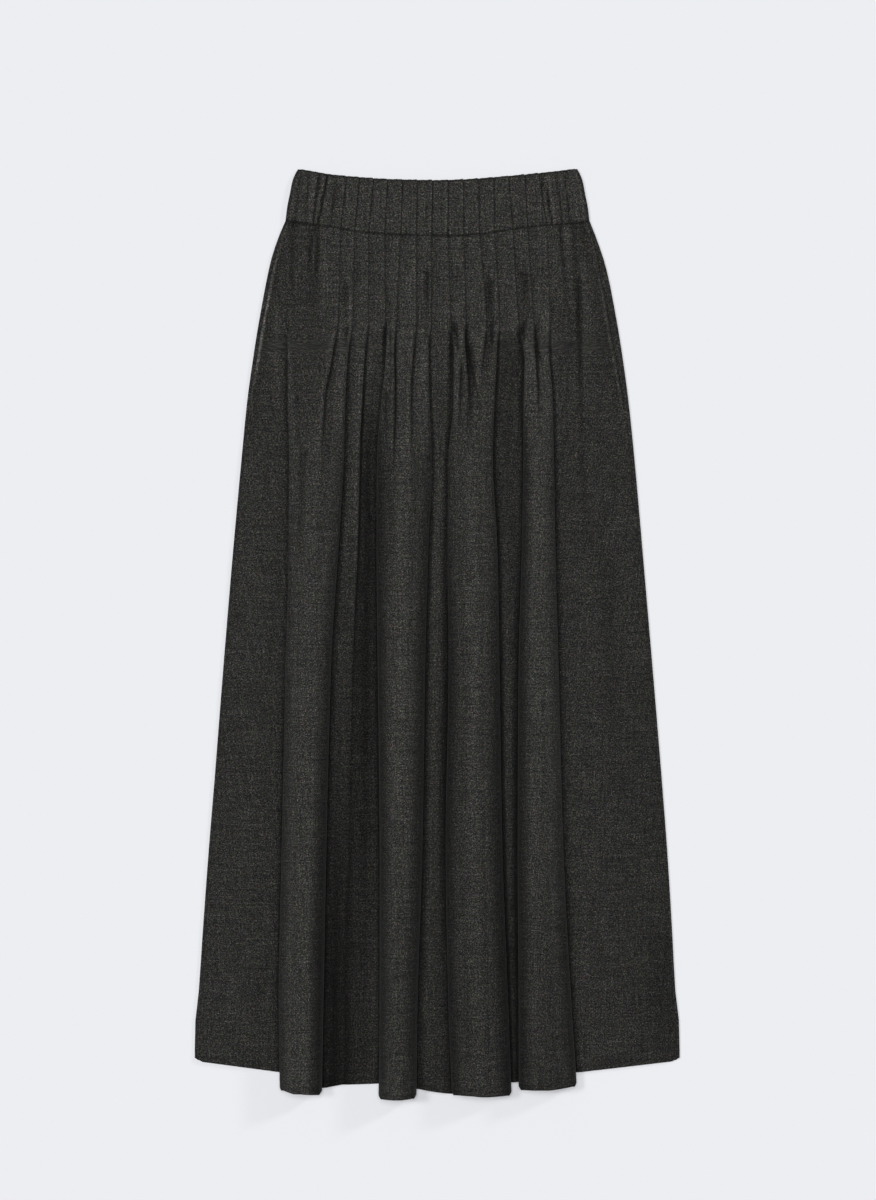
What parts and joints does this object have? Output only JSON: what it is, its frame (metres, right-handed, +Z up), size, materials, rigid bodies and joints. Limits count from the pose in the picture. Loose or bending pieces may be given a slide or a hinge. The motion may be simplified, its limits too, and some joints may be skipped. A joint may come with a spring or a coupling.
{
  "type": "pleated midi skirt",
  "caption": "Long wool skirt laid flat with its front up: a deep gathered waistband, stitched-down front tucks, and soft rolled folds running down to the hem.",
  "frame": {"origin": "middle of the skirt's box, on the surface that it lies on", "axes": "+Z up through the cloth, +Y from the hem towards the waistband, +X to the right as seen from above"},
  "size_m": [0.5108, 0.9773, 0.0205],
  "materials": {
    "front_wool": "matte charcoal melange wool",
    "back_wool": "matte charcoal melange wool",
    "band_front_wool": "matte charcoal melange wool",
    "band_back_wool": "matte charcoal melange wool"
  },
  "bodies": {
    "root": {"front_panel": "front_wool", "back_panel": "back_wool", "waistband_front": "band_front_wool", "waistband_back": "band_back_wool"}
  },
  "joints": []
}
